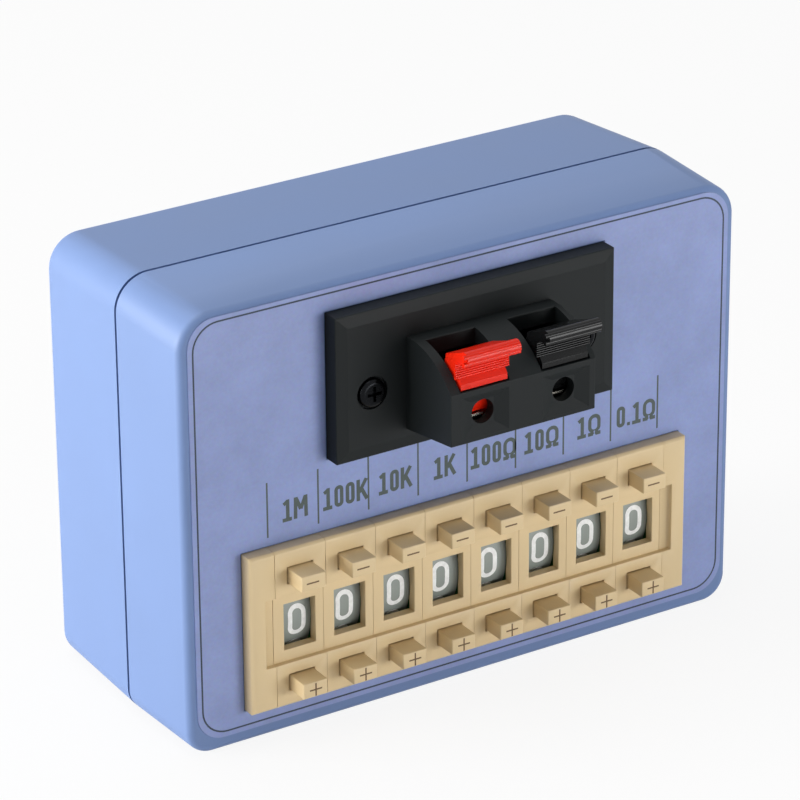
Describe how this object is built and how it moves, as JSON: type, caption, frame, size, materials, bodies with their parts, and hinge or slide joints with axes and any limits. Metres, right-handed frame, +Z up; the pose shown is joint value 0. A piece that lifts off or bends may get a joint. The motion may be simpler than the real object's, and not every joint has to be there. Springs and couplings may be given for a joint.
{
  "type": "resistance decade box",
  "caption": "Pocket resistance decade box: two-part moulded case with push-wheel decade switches and a lever spring terminal on the panel.",
  "frame": {"origin": "middle of the case underside, on the surface it stands on", "axes": "+X to the right of someone facing the panel, +Z up, the panel looks towards -Y"},
  "size_m": [0.0908, 0.0533, 0.0656],
  "materials": {
    "case_blue": "moulded ABS, fine eggshell texture",
    "panel_film": "printed polyester film",
    "terminal_black": "moulded ABS, satin",
    "steel": "zinc plated",
    "contact_bronze": "rolled bronze strip",
    "red_plastic": "moulded ABS, glossy",
    "lever_black": "moulded ABS, glossy",
    "black_insulation": "PVC insulation",
    "bank_beige": "moulded ABS, satin",
    "drum_grey": "moulded acetal",
    "board_green": "glass epoxy with solder mask"
  },
  "bodies": {
    "housing": {"front_shell": "case_blue", "rear_shell": "case_blue", "front_label": "panel_film", "case_screws": "steel", "terminal_body": "terminal_black", "terminal_back_plate": "terminal_black", "terminal_screws": "steel", "terminal_nuts": "steel", "contact_red": "contact_bronze", "contact_black": "contact_bronze", "lead_red": "red_plastic", "lead_black": "black_insulation", "end_plate_left": "bank_beige", "end_plate_right": "bank_beige", "tie_rods": "steel", "tie_nuts": "steel", "board_links": "contact_bronze", "switch_frame_1": "bank_beige", "decade_board_1": "board_green", "switch_frame_2": "bank_beige", "decade_board_2": "board_green", "switch_frame_3": "bank_beige", "decade_board_3": "board_green", "switch_frame_4": "bank_beige", "decade_board_4": "board_green", "switch_frame_5": "bank_beige", "decade_board_5": "board_green", "switch_frame_6": "bank_beige", "decade_board_6": "board_green", "switch_frame_7": "bank_beige", "decade_board_7": "board_green", "switch_frame_8": "bank_beige", "decade_board_8": "board_green"},
    "red_lever": {"lever_red": "red_plastic"},
    "black_lever": {"lever_black": "lever_black"},
    "digit_1": {"digit_wheel_1": "drum_grey"},
    "minus_1": {"minus_button_1": "bank_beige"},
    "plus_1": {"plus_button_1": "bank_beige"},
    "digit_2": {"digit_wheel_2": "drum_grey"},
    "minus_2": {"minus_button_2": "bank_beige"},
    "plus_2": {"plus_button_2": "bank_beige"},
    "digit_3": {"digit_wheel_3": "drum_grey"},
    "minus_3": {"minus_button_3": "bank_beige"},
    "plus_3": {"plus_button_3": "bank_beige"},
    "digit_4": {"digit_wheel_4": "drum_grey"},
    "minus_4": {"minus_button_4": "bank_beige"},
    "plus_4": {"plus_button_4": "bank_beige"},
    "digit_5": {"digit_wheel_5": "drum_grey"},
    "minus_5": {"minus_button_5": "bank_beige"},
    "plus_5": {"plus_button_5": "bank_beige"},
    "digit_6": {"digit_wheel_6": "drum_grey"},
    "minus_6": {"minus_button_6": "bank_beige"},
    "plus_6": {"plus_button_6": "bank_beige"},
    "digit_7": {"digit_wheel_7": "drum_grey"},
    "minus_7": {"minus_button_7": "bank_beige"},
    "plus_7": {"plus_button_7": "bank_beige"},
    "digit_8": {"digit_wheel_8": "drum_grey"},
    "minus_8": {"minus_button_8": "bank_beige"},
    "plus_8": {"plus_button_8": "bank_beige"}
  },
  "joints": [
    {"name": "red_lever_pivot", "type": "hinge", "parent": "housing", "child": "red_lever", "pos_m": [-0.00617, -0.029, 0.0481], "axis": [-1, 0, 0], "range_deg": [0, 16], "stiffness_Nm_per_rad": 0.15, "springref_deg": -14.32},
    {"name": "black_lever_pivot", "type": "hinge", "parent": "housing", "child": "black_lever", "pos_m": [0.00683, -0.029, 0.0481], "axis": [-1, 0, 0], "range_deg": [0, 16], "stiffness_Nm_per_rad": 0.15, "springref_deg": -14.32},
    {"name": "digit_1_spin", "type": "hinge", "parent": "housing", "child": "digit_1", "pos_m": [-0.02828, -0.00965, 0.01685], "axis": [1, 0, 0], "continuous": true},
    {"name": "minus_1_press", "type": "slide", "parent": "housing", "child": "minus_1", "axis": [0, 1, 0], "range_m": [0, 0.0025], "stiffness_N_per_m": 300, "springref_m": -0.002},
    {"name": "plus_1_press", "type": "slide", "parent": "housing", "child": "plus_1", "axis": [0, 1, 0], "range_m": [0, 0.0025], "stiffness_N_per_m": 300, "springref_m": -0.002},
    {"name": "digit_2_spin", "type": "hinge", "parent": "housing", "child": "digit_2", "pos_m": [-0.02028, -0.00965, 0.01685], "axis": [1, 0, 0], "continuous": true},
    {"name": "minus_2_press", "type": "slide", "parent": "housing", "child": "minus_2", "axis": [0, 1, 0], "range_m": [0, 0.0025], "stiffness_N_per_m": 300, "springref_m": -0.002},
    {"name": "plus_2_press", "type": "slide", "parent": "housing", "child": "plus_2", "axis": [0, 1, 0], "range_m": [0, 0.0025], "stiffness_N_per_m": 300, "springref_m": -0.002},
    {"name": "digit_3_spin", "type": "hinge", "parent": "housing", "child": "digit_3", "pos_m": [-0.01227, -0.00965, 0.01685], "axis": [1, 0, 0], "continuous": true},
    {"name": "minus_3_press", "type": "slide", "parent": "housing", "child": "minus_3", "axis": [0, 1, 0], "range_m": [0, 0.0025], "stiffness_N_per_m": 300, "springref_m": -0.002},
    {"name": "plus_3_press", "type": "slide", "parent": "housing", "child": "plus_3", "axis": [0, 1, 0], "range_m": [0, 0.0025], "stiffness_N_per_m": 300, "springref_m": -0.002},
    {"name": "digit_4_spin", "type": "hinge", "parent": "housing", "child": "digit_4", "pos_m": [-0.00428, -0.00965, 0.01685], "axis": [1, 0, 0], "continuous": true},
    {"name": "minus_4_press", "type": "slide", "parent": "housing", "child": "minus_4", "axis": [0, 1, 0], "range_m": [0, 0.0025], "stiffness_N_per_m": 300, "springref_m": -0.002},
    {"name": "plus_4_press", "type": "slide", "parent": "housing", "child": "plus_4", "axis": [0, 1, 0], "range_m": [0, 0.0025], "stiffness_N_per_m": 300, "springref_m": -0.002},
    {"name": "digit_5_spin", "type": "hinge", "parent": "housing", "child": "digit_5", "pos_m": [0.00373, -0.00965, 0.01685], "axis": [1, 0, 0], "continuous": true},
    {"name": "minus_5_press", "type": "slide", "parent": "housing", "child": "minus_5", "axis": [0, 1, 0], "range_m": [0, 0.0025], "stiffness_N_per_m": 300, "springref_m": -0.002},
    {"name": "plus_5_press", "type": "slide", "parent": "housing", "child": "plus_5", "axis": [0, 1, 0], "range_m": [0, 0.0025], "stiffness_N_per_m": 300, "springref_m": -0.002},
    {"name": "digit_6_spin", "type": "hinge", "parent": "housing", "child": "digit_6", "pos_m": [0.01172, -0.00965, 0.01685], "axis": [1, 0, 0], "continuous": true},
    {"name": "minus_6_press", "type": "slide", "parent": "housing", "child": "minus_6", "axis": [0, 1, 0], "range_m": [0, 0.0025], "stiffness_N_per_m": 300, "springref_m": -0.002},
    {"name": "plus_6_press", "type": "slide", "parent": "housing", "child": "plus_6", "axis": [0, 1, 0], "range_m": [0, 0.0025], "stiffness_N_per_m": 300, "springref_m": -0.002},
    {"name": "digit_7_spin", "type": "hinge", "parent": "housing", "child": "digit_7", "pos_m": [0.01972, -0.00965, 0.01685], "axis": [1, 0, 0], "continuous": true},
    {"name": "minus_7_press", "type": "slide", "parent": "housing", "child": "minus_7", "axis": [0, 1, 0], "range_m": [0, 0.0025], "stiffness_N_per_m": 300, "springref_m": -0.002},
    {"name": "plus_7_press", "type": "slide", "parent": "housing", "child": "plus_7", "axis": [0, 1, 0], "range_m": [0, 0.0025], "stiffness_N_per_m": 300, "springref_m": -0.002},
    {"name": "digit_8_spin", "type": "hinge", "parent": "housing", "child": "digit_8", "pos_m": [0.02772, -0.00965, 0.01685], "axis": [1, 0, 0], "continuous": true},
    {"name": "minus_8_press", "type": "slide", "parent": "housing", "child": "minus_8", "axis": [0, 1, 0], "range_m": [0, 0.0025], "stiffness_N_per_m": 300, "springref_m": -0.002},
    {"name": "plus_8_press", "type": "slide", "parent": "housing", "child": "plus_8", "axis": [0, 1, 0], "range_m": [0, 0.0025], "stiffness_N_per_m": 300, "springref_m": -0.002}
  ]
}
